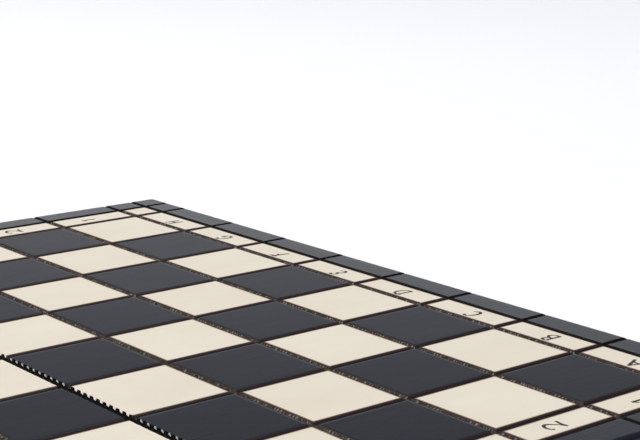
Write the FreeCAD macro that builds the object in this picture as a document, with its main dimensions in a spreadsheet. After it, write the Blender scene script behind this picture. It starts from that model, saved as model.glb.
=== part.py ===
import FreeCAD, Part
import os
import Sketcher

# Folding chess board: two open trays hinged at their rims, so that the board closes into a box.
# Lengths are in millimetres. X runs along the ranks, Y along the files and Z up.
# Each half is drawn in front of the fold, where Y is below zero; the white half is turned round Z.
SIZES = [
    # Playing field, border and trays
    ("square", 33),
    ("files", 8),
    ("ranks", 4),
    ("band", 12.5),
    ("rail", 12),
    ("tray_height", 25),
    ("panel_thickness", 5),
    ("seam_gap", 0.6),
    ("closing_gap", 0.3),
    # Cut lines and rounded edges
    ("line_width", 2.2),
    ("line_depth", 0.9),
    ("edge_round", 2.2),
    ("rim_round", 0.8),
    # Wood joints and lining
    ("fingers", 5),
    ("tongue_reach", 4),
    ("tongue_thickness", 3),
    ("joinery_fit", 0.1),
    ("seam_rail", 11),
    ("tenon_length", 6),
    ("tenon_thickness", 5),
    ("tenon_shoulder", 4),
    ("lining_thickness", 1.5),
    ("lining_margin", 0.5),
    # Hinges
    ("hinge_length", 30),
    ("hinge_inset", 66.5),
    ("knuckles", 3),
    ("leaf_width", 9),
    ("leaf_thickness", 0.8),
    ("knuckle_radius", 1.4),
    ("knuckle_gap", 0.2),
    ("knuckle_relief", 0.3),
    ("pin_radius", 0.6),
    ("pin_fit", 0.04),
    ("pin_head_radius", 1.1),
    ("pin_head_length", 0.5),
    ("hinge_screw_spacing", 17),
    ("hinge_screw_inset", 5.4),
    ("hinge_screw_head", 1.8),
    ("hinge_screw_radius", 0.9),
    ("hinge_screw_length", 10),
    ("hinge_screw_point", 2.5),
    ("hinge_slot_width", 0.5),
    ("hinge_slot_depth", 0.35),
    ("screw_fit", 0.05),
    # Hook latches
    ("latch_inset", 74),
    ("pivot_height", 8),
    ("hook_eye", 4),
    ("hook_width", 4.6),
    ("hook_thickness", 1.2),
    ("hook_play", 0.15),
    ("throat_fit", 0.3),
    ("pivot_fit", 0.05),
    ("tab_length", 5.5),
    ("tab_width", 3.2),
    ("washer_radius", 3.2),
    ("washer_thickness", 0.8),
    ("latch_screw_radius", 1.5),
    ("latch_screw_head", 3),
    ("latch_screw_dome", 1.6),
    ("latch_screw_round", 1.3),
    ("latch_screw_length", 9),
    ("latch_screw_point", 2.5),
    ("latch_slot_width", 0.8),
    ("latch_slot_depth", 0.7),
    # Length by which a cut passes the face that it leaves
    ("overrun", 1),
]

doc = FreeCAD.newDocument("folding_chess_board")
sheet = doc.addObject("Spreadsheet::Sheet", "Sizes")
for row, (alias, number) in enumerate(SIZES, 1):
    sheet.set(f"A{row}", alias)
    sheet.set(f"B{row}", str(number))
    sheet.setAlias(f"B{row}", alias)
doc.recompute()

# Places that several pieces share, as expressions on the sheet
FIELD_X = "(Sizes.files * Sizes.square)"
PANEL_X = f"({FIELD_X} + 2 * Sizes.band)"
BOARD_X = f"({PANEL_X} + 2 * Sizes.rail)"
SEAM_Y = "(Sizes.seam_gap / 2)"
FIELD_Y = "(Sizes.ranks * Sizes.square)"
PANEL_Y = f"({SEAM_Y} + {FIELD_Y} + Sizes.band)"
OUTER_Y = f"({PANEL_Y} + Sizes.rail)"
HALF_Y = f"({OUTER_Y} - {SEAM_Y})"
WALL_Y = f"({SEAM_Y} + Sizes.seam_rail)"
AXIS_Z = "Sizes.knuckle_radius"
RIM_Z = f"({AXIS_Z} + Sizes.closing_gap / 2)"
TOP_Z = f"({RIM_Z} + Sizes.tray_height)"
PANEL_Z = f"({TOP_Z} - Sizes.panel_thickness)"
FINGER = "(Sizes.tray_height / Sizes.fingers)"
PIVOT_Z = f"({RIM_Z} + Sizes.pivot_height)"
HOOK_REACH = "(2 * Sizes.pivot_height + Sizes.closing_gap)"
HOOK_Y = f"({OUTER_Y} + Sizes.washer_thickness + Sizes.hook_play)"
HEAD_Y = f"({HOOK_Y} + Sizes.hook_thickness + Sizes.hook_play)"

TENON_NEAR = f"({SEAM_Y} + (Sizes.seam_rail - Sizes.tenon_thickness) / 2)"
TENON_FAR = f"({TENON_NEAR} + Sizes.tenon_thickness)"
TENON_HEIGHT = "(Sizes.tray_height - Sizes.panel_thickness - 2 * Sizes.tenon_shoulder)"
BARREL_X = "(Sizes.hinge_length / 2 + Sizes.pin_head_length + Sizes.knuckle_relief)"
HINGE_X = f"({BOARD_X} / 2 - Sizes.hinge_inset)"
INNER_SCREW_X = f"({HINGE_X} - Sizes.hinge_screw_spacing / 2)"
OUTER_SCREW_X = f"({HINGE_X} + Sizes.hinge_screw_spacing / 2)"
LATCH_X = f"({BOARD_X} / 2 - Sizes.latch_inset)"

HALF_TURN = FreeCAD.Placement(FreeCAD.Vector(0, 0, 0), FreeCAD.Rotation(FreeCAD.Vector(0, 0, 1), 180))
HALVES = ("black", "white")
written = []


def value(text):
    """Number that an expression on the sheet has now."""
    return float(sheet.evalExpression(text))


def origin_feature(body, role):
    """Plane or axis of the body's own origin."""
    return next(feature for feature in body.Origin.OriginFeatures if feature.Role == role)


def new_body(label):
    """Empty body whose label is the name of the piece."""
    body = doc.addObject("PartDesign::Body", label)
    body.Label = label
    return body


def keep(piece, half):
    """List a finished piece, turned into the white half where it belongs to it."""
    if half == "white":
        piece.Placement = HALF_TURN
    written.append(piece)


def sketch_on(body, role, base):
    """Sketch on an origin plane of the body, moved in the plane and along its normal by expressions."""
    sketch = body.newObject("Sketcher::SketchObject", "Sketch")
    sketch.AttachmentSupport = [(origin_feature(body, role), "")]
    sketch.MapMode = "FlatFace"
    for axis, text in zip("xyz", base):
        sketch.setExpression(f"AttachmentOffset.Base.{axis}", text)
    return sketch


def pin_down(sketch, line, corner):
    """Hold the start of a line at two expressions."""
    for kind, text in zip(("DistanceX", "DistanceY"), corner):
        index = sketch.addConstraint(Sketcher.Constraint(kind, -1, 1, line, 1, value(text)))
        sketch.setExpression(f"Constraints[{index}]", text)


def outline(sketch, corners):
    """Closed outline through corners given as pairs of expressions."""
    points = [FreeCAD.Vector(value(x), value(y), 0) for x, y in corners]
    count = len(points)
    for index, point in enumerate(points):
        sketch.addGeometry(Part.LineSegment(point, points[(index + 1) % count]))
    for index in range(count):
        sketch.addConstraint(Sketcher.Constraint("Coincident", index, 2, (index + 1) % count, 1))
    for index, corner in enumerate(corners):
        pin_down(sketch, index, corner)


def rectangle(sketch, x0, y0, x1, y1):
    """Upright rectangle between two corners."""
    outline(sketch, [(x0, y0), (x1, y0), (x1, y1), (x0, y1)])


def circle(sketch, radius):
    """Circle round the sketch's origin."""
    centre = FreeCAD.Vector(0, 0, 0)
    sketch.addGeometry(Part.Circle(centre, FreeCAD.Vector(0, 0, 1), value(radius)))
    sketch.addConstraint(Sketcher.Constraint("Coincident", 0, 3, -1, 1))
    index = sketch.addConstraint(Sketcher.Constraint("Radius", 0, value(radius)))
    sketch.setExpression(f"Constraints[{index}]", radius)


def pad(body, sketch, length):
    """Solid raised from a sketch along its normal."""
    feature = body.newObject("PartDesign::Pad", "Pad")
    feature.Profile = sketch
    feature.setExpression("Length", length)
    return feature


def pocket(body, sketch, depth, along_normal=False):
    """Cut from a sketch against its normal, or along it."""
    feature = body.newObject("PartDesign::Pocket", "Pocket")
    feature.Profile = sketch
    feature.Reversed = along_normal
    feature.setExpression("Length", depth)
    return feature


def repeat(body, feature, axis, span, count, backwards=False):
    """Row of equal cuts that starts at the given one."""
    pattern = body.newObject("PartDesign::LinearPattern", "Row")
    pattern.Originals = [feature]
    pattern.Direction = (origin_feature(body, axis), [""])
    pattern.Reversed = backwards
    pattern.setExpression("Length", span)
    pattern.setExpression("Occurrences", count)
    body.Tip = pattern


def revolve(body, sketch):
    """Solid of revolution about the sketch's upright axis."""
    feature = body.newObject("PartDesign::Revolution", "Revolution")
    feature.Profile = sketch
    feature.ReferenceAxis = (sketch, ["V_Axis"])
    return feature


def on_planes(point, planes):
    """How many of the planes, given as axis and place, a point lies on."""
    return sum(abs(point[axis] - place) < Part.Precision.confusion() for axis, place in planes)


def outer_planes():
    """Outer faces of one half: two ends and the outer long side."""
    half_width = value(f"{BOARD_X} / 2")
    return [(0, half_width), (0, -half_width), (1, -value(OUTER_Y))]


def fillet(body, base, edges, radius):
    """Round the named edges of a feature."""
    feature = body.newObject("PartDesign::Fillet", "Fillet")
    feature.Base = (base, edges)
    feature.setExpression("Radius", radius)
    return feature


def shared_planes(edge, planes):
    """How many of the planes a straight edge lies in."""
    return sum(all(on_planes(vertex.Point, [plane]) for vertex in edge.Vertexes) for plane in planes)


def round_outside(body, blank):
    """Round the outer edges of a rail at its top and corners, and less at its rim."""
    doc.recompute()
    planes = outer_planes() + [(2, value(TOP_Z))]
    upper = [f"Edge{i}" for i, edge in enumerate(blank.Shape.Edges, 1) if shared_planes(edge, planes) > 1]
    rounded = fillet(body, blank, upper, "Sizes.edge_round")
    doc.recompute()
    rim = [(2, value(RIM_Z))]
    lower = []
    for index, edge in enumerate(rounded.Shape.Edges, 1):
        points = [vertex.Point for vertex in edge.Vertexes]
        if all(on_planes(point, rim) and on_planes(point, outer_planes()) for point in points):
            lower.append(f"Edge{index}")
    fillet(body, rounded, lower, "Sizes.rim_round")


# Lines cut in the upper face
def line_profile(sketch):
    """Section of a cut line: a V below the face, open above it."""
    side = "Sizes.line_width / 2"
    outline(sketch, [(f"-{side}", "0"), ("0", "-Sizes.line_depth"), (side, "0"),
                     (side, "Sizes.overrun"), (f"-{side}", "Sizes.overrun")])


def line_along_file(body, x):
    """Line across the half from its outer side to the fold."""
    sketch = sketch_on(body, "XZ_Plane", (x, TOP_Z, f"{OUTER_Y} + Sizes.overrun"))
    line_profile(sketch)
    return pocket(body, sketch, f"{HALF_Y} + 2 * Sizes.overrun")


def line_along_rank(body, y):
    """Line across the half from end to end."""
    sketch = sketch_on(body, "YZ_Plane", (y, TOP_Z, f"{BOARD_X} / 2 + Sizes.overrun"))
    line_profile(sketch)
    return pocket(body, sketch, f"{BOARD_X} + 2 * Sizes.overrun")


def file_lines(body):
    """Lines on both sides of each file."""
    first = line_along_file(body, f"-{FIELD_X} / 2")
    repeat(body, first, "X_Axis", FIELD_X, "Sizes.files + 1")


def rank_lines(body):
    """Lines on both sides of each rank, the first on the fold's edge."""
    first = line_along_rank(body, f"-{SEAM_Y}")
    repeat(body, first, "Y_Axis", FIELD_Y, "Sizes.ranks + 1", True)


def band_lines(body):
    """Lines between the coordinate band and the rails at both ends."""
    first = line_along_file(body, f"-{PANEL_X} / 2")
    repeat(body, first, "X_Axis", PANEL_X, "2")


# Wood of one half
def playing_panel(half):
    """Panel with the squares and the coordinate band, tongued on three sides."""
    body = new_body(f"{half}_playing_panel")
    plate = sketch_on(body, "XY_Plane", ("0", "0", PANEL_Z))
    rectangle(plate, f"-{PANEL_X} / 2", f"-{PANEL_Y}", f"{PANEL_X} / 2", f"-{SEAM_Y}")
    pad(body, plate, "Sizes.panel_thickness")
    ends = sketch_on(body, "XY_Plane", ("0", "0", PANEL_Z))
    rectangle(ends, f"-({PANEL_X} / 2 + Sizes.tongue_reach)", f"-({PANEL_Y} - Sizes.joinery_fit)",
              f"{PANEL_X} / 2 + Sizes.tongue_reach", f"-{SEAM_Y}")
    pad(body, ends, "Sizes.tongue_thickness")
    side = sketch_on(body, "XY_Plane", ("0", "0", PANEL_Z))
    half_length = f"({PANEL_X} / 2 - 2 * Sizes.joinery_fit)"
    rectangle(side, f"-{half_length}", f"-({PANEL_Y} + Sizes.tongue_reach)", half_length, f"-{SEAM_Y}")
    pad(body, side, "Sizes.tongue_thickness")
    file_lines(body)
    band_lines(body)
    rank_lines(body)
    line_along_rank(body, f"-{PANEL_Y}")
    keep(body, half)


def panel_groove(body, x0, y0, x1, y1):
    """Groove in a rail that takes a tongue of the panel."""
    sketch = sketch_on(body, "XY_Plane", ("0", "0", PANEL_Z))
    rectangle(sketch, x0, y0, x1, y1)
    pocket(body, sketch, "Sizes.tongue_thickness + Sizes.joinery_fit", True)


def latch_holes(body):
    """Two holes in the outer side for the screws of the latches."""
    sketch = sketch_on(body, "XZ_Plane", (f"-{LATCH_X}", PIVOT_Z, OUTER_Y))
    circle(sketch, "Sizes.latch_screw_radius + Sizes.screw_fit")
    hole = pocket(body, sketch, "Sizes.latch_screw_length + Sizes.screw_fit")
    repeat(body, hole, "X_Axis", f"2 * {LATCH_X}", "2")


def outer_rail(half):
    """Long rail away from the fold, with the corner fingers at its rim, middle and top."""
    body = new_body(f"{half}_outer_rail")
    sketch = sketch_on(body, "XY_Plane", ("0", "0", RIM_Z))
    rectangle(sketch, f"-{BOARD_X} / 2", f"-{OUTER_Y}", f"{BOARD_X} / 2", f"-{PANEL_Y}")
    blank = pad(body, sketch, "Sizes.tray_height")
    round_outside(body, blank)
    for start, end in ((f"-({BOARD_X} / 2 + Sizes.overrun)", f"-{PANEL_X} / 2"),
                       (f"{PANEL_X} / 2", f"{BOARD_X} / 2 + Sizes.overrun")):
        socket = sketch_on(body, "XZ_Plane", ("0", f"{RIM_Z} + {FINGER}", f"{OUTER_Y} + Sizes.overrun"))
        rectangle(socket, start, "0", end, FINGER)
        cut = pocket(body, socket, "Sizes.rail + 2 * Sizes.overrun")
        repeat(body, cut, "Z_Axis", f"{FINGER} * (Sizes.fingers - 3)", "(Sizes.fingers - 1) / 2")
    half_length = f"({PANEL_X} / 2 - Sizes.joinery_fit)"
    panel_groove(body, f"-{half_length}", f"-({PANEL_Y} + Sizes.tongue_reach + Sizes.joinery_fit)",
                 half_length, f"-({PANEL_Y} - Sizes.overrun)")
    latch_holes(body)
    file_lines(body)
    band_lines(body)
    line_along_rank(body, f"-{PANEL_Y}")
    keep(body, half)


def end_rail(half, name, sign):
    """Short rail on the left or right of the half, with the corner fingers between those of the long rail."""
    body = new_body(f"{half}_{name}_rail")
    inner = f"{sign} * {PANEL_X} / 2"
    outer = f"{sign} * {BOARD_X} / 2"
    past_inner = f"{sign} * ({PANEL_X} / 2 - Sizes.overrun)"
    past_outer = f"{sign} * ({BOARD_X} / 2 + Sizes.overrun)"
    sketch = sketch_on(body, "XY_Plane", ("0", "0", RIM_Z))
    rectangle(sketch, outer, f"-{OUTER_Y}", inner, f"-{SEAM_Y}")
    blank = pad(body, sketch, "Sizes.tray_height")
    round_outside(body, blank)
    gap = sketch_on(body, "XZ_Plane", ("0", RIM_Z, f"{OUTER_Y} + Sizes.overrun"))
    rectangle(gap, past_outer, "0", past_inner, FINGER)
    cut = pocket(body, gap, "Sizes.rail + Sizes.overrun")
    repeat(body, cut, "Z_Axis", f"{FINGER} * (Sizes.fingers - 1)", "(Sizes.fingers + 1) / 2")
    groove_end = f"{sign} * ({PANEL_X} / 2 + Sizes.tongue_reach + Sizes.joinery_fit)"
    panel_groove(body, groove_end, f"-{PANEL_Y}", past_inner, f"-({SEAM_Y} - Sizes.overrun)")
    mortise_end = f"{sign} * ({PANEL_X} / 2 + Sizes.tenon_length + Sizes.joinery_fit)"
    mortise = sketch_on(body, "XY_Plane", ("0", "0", f"{RIM_Z} + Sizes.tenon_shoulder"))
    rectangle(mortise, mortise_end, f"-({TENON_FAR} + Sizes.joinery_fit)", past_inner,
              f"-({TENON_NEAR} - Sizes.joinery_fit)")
    pocket(body, mortise, f"{TENON_HEIGHT} + Sizes.joinery_fit", True)
    line_along_file(body, inner)
    rank_lines(body)
    line_along_rank(body, f"-{PANEL_Y}")
    keep(body, half)


def seam_rail(half):
    """Long rail under the panel at the fold, tenoned into the short rails and cut for the hinges."""
    body = new_body(f"{half}_seam_rail")
    sketch = sketch_on(body, "XY_Plane", ("0", "0", RIM_Z))
    rectangle(sketch, f"-{PANEL_X} / 2", f"-{WALL_Y}", f"{PANEL_X} / 2", f"-{SEAM_Y}")
    pad(body, sketch, "Sizes.tray_height - Sizes.panel_thickness")
    tenons = sketch_on(body, "XY_Plane", ("0", "0", f"{RIM_Z} + Sizes.tenon_shoulder"))
    rectangle(tenons, f"-({PANEL_X} / 2 + Sizes.tenon_length)", f"-{TENON_FAR}",
              f"{PANEL_X} / 2 + Sizes.tenon_length", f"-{TENON_NEAR}")
    pad(body, tenons, TENON_HEIGHT)
    first_hinge = f"-{HINGE_X}"
    seat = sketch_on(body, "XY_Plane", (first_hinge, "0", RIM_Z))
    side = "Sizes.hinge_length / 2 + Sizes.joinery_fit"
    rectangle(seat, f"-({side})", "-(Sizes.leaf_width + Sizes.joinery_fit)", side, "0")
    cut = pocket(body, seat, "Sizes.leaf_thickness", True)
    repeat(body, cut, "X_Axis", f"2 * {HINGE_X}", "2")
    relief = sketch_on(body, "XY_Plane", (first_hinge, "0", RIM_Z))
    rectangle(relief, f"-{BARREL_X}", "-(Sizes.knuckle_radius + Sizes.knuckle_relief)", BARREL_X, "0")
    cut = pocket(body, relief, f"{AXIS_Z} + Sizes.knuckle_radius + Sizes.knuckle_relief - {RIM_Z}", True)
    repeat(body, cut, "X_Axis", f"2 * {HINGE_X}", "2")
    for place in (INNER_SCREW_X, OUTER_SCREW_X):
        hole = sketch_on(body, "XY_Plane", (f"-{place}", "-Sizes.hinge_screw_inset", RIM_Z))
        circle(hole, "Sizes.hinge_screw_radius + Sizes.screw_fit")
        cut = pocket(body, hole, "Sizes.hinge_screw_length + Sizes.screw_fit", True)
        repeat(body, cut, "X_Axis", f"2 * {place}", "2")
    keep(body, half)


def lining(half):
    """Felt glued under the panel, inside the four rails."""
    body = new_body(f"{half}_lining")
    sketch = sketch_on(body, "XY_Plane", ("0", "0", f"{PANEL_Z} - Sizes.lining_thickness"))
    side = f"({PANEL_X} / 2 - Sizes.lining_margin)"
    rectangle(sketch, f"-{side}", f"-({PANEL_Y} - Sizes.lining_margin)", side,
              f"-({WALL_Y} + Sizes.lining_margin)")
    pad(body, sketch, "Sizes.lining_thickness")
    keep(body, half)


# Hinges
def rod(name, x0, x1, y, z, radius):
    """Round bar along X between two places."""
    piece = doc.addObject("Part::Cylinder", name)
    piece.Placement.Rotation = FreeCAD.Rotation(FreeCAD.Vector(0, 1, 0), 90)
    for axis, text in zip("xyz", (x0, y, z)):
        piece.setExpression(f"Placement.Base.{axis}", text)
    piece.setExpression("Height", f"{x1} - ({x0})")
    piece.setExpression("Radius", radius)
    return piece


def block(name, x0, y0, z0, x1, y1, z1):
    """Upright block between two corners."""
    piece = doc.addObject("Part::Box", name)
    for axis, text in zip("xyz", (x0, y0, z0)):
        piece.setExpression(f"Placement.Base.{axis}", text)
    piece.setExpression("Length", f"{x1} - ({x0})")
    piece.setExpression("Width", f"{y1} - ({y0})")
    piece.setExpression("Height", f"{z1} - ({z0})")
    return piece


def join(name, pieces):
    """One solid from several that overlap."""
    piece = doc.addObject("Part::MultiFuse", name)
    piece.Shapes = pieces
    return piece


def subtract(name, base, tool):
    """Base without the tool."""
    piece = doc.addObject("Part::Cut", name)
    piece.Base = base
    piece.Tool = tool
    return piece


def countersink(name, x):
    """Seat of a hinge screw: a cone through the leaf."""
    piece = doc.addObject("Part::Cone", name)
    for axis, text in zip("xyz", (x, "-Sizes.hinge_screw_inset", RIM_Z)):
        piece.setExpression(f"Placement.Base.{axis}", text)
    piece.setExpression("Radius1", "Sizes.hinge_screw_head + Sizes.screw_fit")
    piece.setExpression("Radius2", "Sizes.hinge_screw_radius + Sizes.screw_fit")
    piece.setExpression("Height", "Sizes.leaf_thickness")
    return piece


def knuckle_numbers(half):
    """Knuckles of one leaf, counted along X before the half is turned; the white leaf has the outer ones."""
    count = round(value("Sizes.knuckles"))
    if half == "white":
        return [count - 1 - number for number in range(0, count, 2)]
    return range(1, count, 2)


def hinge_leaf(half, hinge, centre):
    """Leaf let into the rim, with every other knuckle of the hinge."""
    label = f"{hinge}_hinge_{half}_leaf"
    start = f"{centre} - Sizes.hinge_length / 2"
    end = f"{centre} + Sizes.hinge_length / 2"
    plate_top = f"{RIM_Z} + Sizes.leaf_thickness"
    plate_edge = "-(Sizes.knuckle_radius + Sizes.knuckle_relief)"
    solids = [block("Plate", start, "-Sizes.leaf_width", RIM_Z, end, plate_edge, plate_top)]
    step = "(Sizes.hinge_length / Sizes.knuckles)"
    for number in knuckle_numbers(half):
        near = f"{start} + {step} * {number} + Sizes.knuckle_gap / 2"
        far = f"{start} + {step} * {number + 1} - Sizes.knuckle_gap / 2"
        solids.append(rod("Knuckle", near, far, "0", AXIS_Z, "Sizes.knuckle_radius"))
        solids.append(block("Root", near, plate_edge, RIM_Z, far, "0", plate_top))
    leaf = join("Leaf", solids)
    bore = rod("Bore", f"{start} - Sizes.overrun", f"{end} + Sizes.overrun", "0", AXIS_Z,
               "Sizes.pin_radius + Sizes.pin_fit")
    bored = subtract("Bored", leaf, bore)
    seats = [countersink("Seat", f"{centre} {sign} Sizes.hinge_screw_spacing / 2") for sign in "+-"]
    finished = subtract(label, bored, join("Seats", seats))
    finished.Label = label
    keep(finished, half)


def hinge_pin(hinge, centre):
    """Pin with a head at each end, through all knuckles of a hinge."""
    start = f"{centre} - Sizes.hinge_length / 2"
    end = f"{centre} + Sizes.hinge_length / 2"
    shaft = rod("Shaft", start, end, "0", AXIS_Z, "Sizes.pin_radius")
    near = rod("Head", f"{start} - Sizes.pin_head_length", start, "0", AXIS_Z, "Sizes.pin_head_radius")
    far = rod("Head", end, f"{end} + Sizes.pin_head_length", "0", AXIS_Z, "Sizes.pin_head_radius")
    pin = join(f"{hinge}_hinge_pin", [shaft, near, far])
    pin.Label = f"{hinge}_hinge_pin"
    written.append(pin)


def hinge_screw(name, x):
    """Countersunk screw through a leaf into the seam rail, with a slot in its head."""
    body = new_body(name)
    sketch = sketch_on(body, "XZ_Plane", (x, RIM_Z, "Sizes.hinge_screw_inset"))
    shank = "Sizes.hinge_screw_radius"
    outline(sketch, [("0", "0"), ("Sizes.hinge_screw_head", "0"), (shank, "Sizes.leaf_thickness"),
                     (shank, "Sizes.hinge_screw_length - Sizes.hinge_screw_point"),
                     ("0", "Sizes.hinge_screw_length")])
    revolve(body, sketch)
    slot = sketch_on(body, "XY_Plane", (x, "-Sizes.hinge_screw_inset", RIM_Z))
    reach = "(Sizes.hinge_screw_head + Sizes.overrun)"
    rectangle(slot, f"-{reach}", "-Sizes.hinge_slot_width / 2", reach, "Sizes.hinge_slot_width / 2")
    pocket(body, slot, "Sizes.hinge_slot_depth", True)
    return body


def group(label, half, pieces):
    """Equal loose pieces as one node."""
    compound = doc.addObject("Part::Compound", label)
    compound.Links = pieces
    compound.Label = label
    keep(compound, half)


def hinge_screws(half):
    """The screws of both hinges in one half."""
    places = [f"{sign}{place}" for sign in "-+" for place in (OUTER_SCREW_X, INNER_SCREW_X)]
    group(f"{half}_hinge_screws", half, [hinge_screw("Screw", place) for place in places])


# Latches
def latch_screw(name, x):
    """Round-headed screw in the outer side that leaves room for a washer and the hook under its head."""
    body = new_body(name)
    sketch = sketch_on(body, "XY_Plane", (x, f"-{OUTER_Y}", PIVOT_Z))
    neck = "Sizes.latch_screw_radius"
    under = f"-({HEAD_Y} - {OUTER_Y})"
    top = f"{under} - Sizes.latch_screw_dome"
    head = "Sizes.latch_screw_head"
    outline(sketch, [("0", top), (head, top), (head, under), (neck, under),
                     (neck, "Sizes.latch_screw_length - Sizes.latch_screw_point"),
                     ("0", "Sizes.latch_screw_length")])
    turned = revolve(body, sketch)
    doc.recompute()
    top_plane = [(1, -value(f"{HEAD_Y} + Sizes.latch_screw_dome"))]
    rims = [f"Edge{i}" for i, edge in enumerate(turned.Shape.Edges, 1)
            if edge.isClosed() and shared_planes(edge, top_plane)]
    fillet(body, turned, rims, "Sizes.latch_screw_round")
    slot = sketch_on(body, "XZ_Plane", (x, PIVOT_Z, f"{HEAD_Y} + Sizes.latch_screw_dome"))
    reach = f"({head} + Sizes.overrun)"
    rectangle(slot, f"-{reach}", "-Sizes.latch_slot_width / 2", reach, "Sizes.latch_slot_width / 2")
    pocket(body, slot, "Sizes.latch_slot_depth")
    return body


def washer(name, x):
    """Ring between the outer side and a hook, or under the catch that the hook passes."""
    body = new_body(name)
    ring = sketch_on(body, "XZ_Plane", (x, PIVOT_Z, OUTER_Y))
    circle(ring, "Sizes.washer_radius")
    pad(body, ring, "Sizes.washer_thickness")
    hole = sketch_on(body, "XZ_Plane", (x, PIVOT_Z, f"{OUTER_Y} + Sizes.washer_thickness"))
    circle(hole, "Sizes.latch_screw_radius + Sizes.screw_fit")
    pocket(body, hole, "Sizes.washer_thickness")
    return body


def hook(label, x):
    """Flat hook stowed along the outer side: an eye on the pivot, a throat for the catch and a finger tab."""
    body = new_body(label)
    end = f"{x} + {HOOK_REACH}"
    tab_end = f"{end} + Sizes.hook_eye + Sizes.tab_length - Sizes.tab_width / 2"
    for place in (x, end):
        disc = sketch_on(body, "XZ_Plane", (place, PIVOT_Z, HOOK_Y))
        circle(disc, "Sizes.hook_eye")
        pad(body, disc, "Sizes.hook_thickness")
    bar = sketch_on(body, "XZ_Plane", (x, PIVOT_Z, HOOK_Y))
    rectangle(bar, "0", "-Sizes.hook_width / 2", HOOK_REACH, "Sizes.hook_width / 2")
    pad(body, bar, "Sizes.hook_thickness")
    tab = sketch_on(body, "XZ_Plane", (end, PIVOT_Z, HOOK_Y))
    rectangle(tab, "Sizes.latch_screw_head", "-Sizes.tab_width / 2",
              "Sizes.hook_eye + Sizes.tab_length - Sizes.tab_width / 2", "Sizes.tab_width / 2")
    pad(body, tab, "Sizes.hook_thickness")
    tip = sketch_on(body, "XZ_Plane", (tab_end, PIVOT_Z, HOOK_Y))
    circle(tip, "Sizes.tab_width / 2")
    pad(body, tip, "Sizes.hook_thickness")
    outside = f"{HOOK_Y} + Sizes.hook_thickness"
    for place, fit in ((x, "Sizes.pivot_fit"), (end, "Sizes.throat_fit")):
        hole = sketch_on(body, "XZ_Plane", (place, PIVOT_Z, outside))
        circle(hole, f"Sizes.latch_screw_radius + {fit}")
        pocket(body, hole, "Sizes.hook_thickness")
    throat = sketch_on(body, "XZ_Plane", (end, PIVOT_Z, outside))
    side = "(Sizes.latch_screw_radius + Sizes.throat_fit)"
    rectangle(throat, f"-{side}", "-(Sizes.hook_eye + Sizes.overrun)", side, "0")
    pocket(body, throat, "Sizes.hook_thickness")
    keep(body, "white")


LATCH_PLACES = (f"-{LATCH_X}", LATCH_X)
for half in HALVES:
    playing_panel(half)
    outer_rail(half)
    end_rail(half, "left", "-1")
    end_rail(half, "right", "1")
    seam_rail(half)
    lining(half)
    hinge_screws(half)
    purpose = "pivot" if half == "white" else "catch"
    group(f"{purpose}_screws", half, [latch_screw("Screw", place) for place in LATCH_PLACES])
    group(f"{purpose}_washers", half, [washer("Washer", place) for place in LATCH_PLACES])
for hinge, sign in (("a", "1"), ("h", "-1")):
    hinge_leaf("black", hinge, f"{sign} * {HINGE_X}")
    hinge_leaf("white", hinge, f"-{sign} * {HINGE_X}")
    hinge_pin(hinge, f"{sign} * {HINGE_X}")
for name, place in zip(("a", "h"), LATCH_PLACES):
    hook(f"{name}_latch_hook", place)
doc.recompute()

# Check every object, then write one file for each piece
for item in doc.Objects:
    if "Invalid" in item.State or "Error" in item.State:
        raise RuntimeError(f"{item.Label} did not build: {item.State}")
for piece in written:
    if piece.Shape.isNull() or not piece.Shape.isValid():
        raise RuntimeError(f"{piece.Label} has no valid shape")
os.makedirs("parts", exist_ok=True)
for piece in written:
    piece.Shape.exportStep(f"parts/{piece.Label}.step")
    print(f"{piece.Label}: {len(piece.Shape.Solids)} solids, {piece.Shape.Volume:.1f} mm3")
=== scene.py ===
import math
import bpy
import numpy as np
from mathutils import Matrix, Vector


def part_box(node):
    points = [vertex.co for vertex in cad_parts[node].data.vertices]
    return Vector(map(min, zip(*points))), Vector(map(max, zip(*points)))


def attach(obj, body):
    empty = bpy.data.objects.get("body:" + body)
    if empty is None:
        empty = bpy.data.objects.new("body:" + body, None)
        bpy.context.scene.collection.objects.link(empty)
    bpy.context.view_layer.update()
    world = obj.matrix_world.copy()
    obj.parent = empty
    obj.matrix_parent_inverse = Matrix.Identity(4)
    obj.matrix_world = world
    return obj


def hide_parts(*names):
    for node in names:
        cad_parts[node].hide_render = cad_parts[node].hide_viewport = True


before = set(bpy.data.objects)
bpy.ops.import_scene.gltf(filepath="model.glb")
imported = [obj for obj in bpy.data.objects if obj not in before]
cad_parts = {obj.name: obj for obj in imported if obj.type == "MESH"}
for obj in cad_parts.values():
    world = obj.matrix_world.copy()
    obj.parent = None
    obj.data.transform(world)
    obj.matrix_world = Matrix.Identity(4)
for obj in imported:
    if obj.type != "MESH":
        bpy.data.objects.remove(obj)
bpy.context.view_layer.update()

# Sizes in metres, read from the frame where it shows them
MM = 0.001
end_rail_low, end_rail_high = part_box("white_left_rail")
outer_rail_low, outer_rail_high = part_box("white_outer_rail")
PANEL_HALF = end_rail_low.x
PANEL_FAR = outer_rail_low.y
SEAM = end_rail_low.y
TOP = end_rail_high.z
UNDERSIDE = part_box("white_seam_rail")[1].z
BAND = 12.5 * MM
FIELD_HALF = PANEL_HALF - BAND
FIELD_FAR = PANEL_FAR - BAND

# Squares from the middle of the board to the edge of the field, and the lines between them
HALF_COUNT = 4
SQUARE = FIELD_HALF / HALF_COUNT
FIELD_LINES = SQUARE * np.arange(-HALF_COUNT, HALF_COUNT + 1)
FILE_LINES = np.concatenate([[-PANEL_HALF], FIELD_LINES, [PANEL_HALF]])
RANK_LINES = np.concatenate([SEAM + SQUARE * np.arange(HALF_COUNT + 1), [PANEL_FAR]])

# The ink stands this much above the wood, so the wood lies that much under the highest plane
INK = 0.04 * MM
WOOD_TOP = TOP - INK

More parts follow.
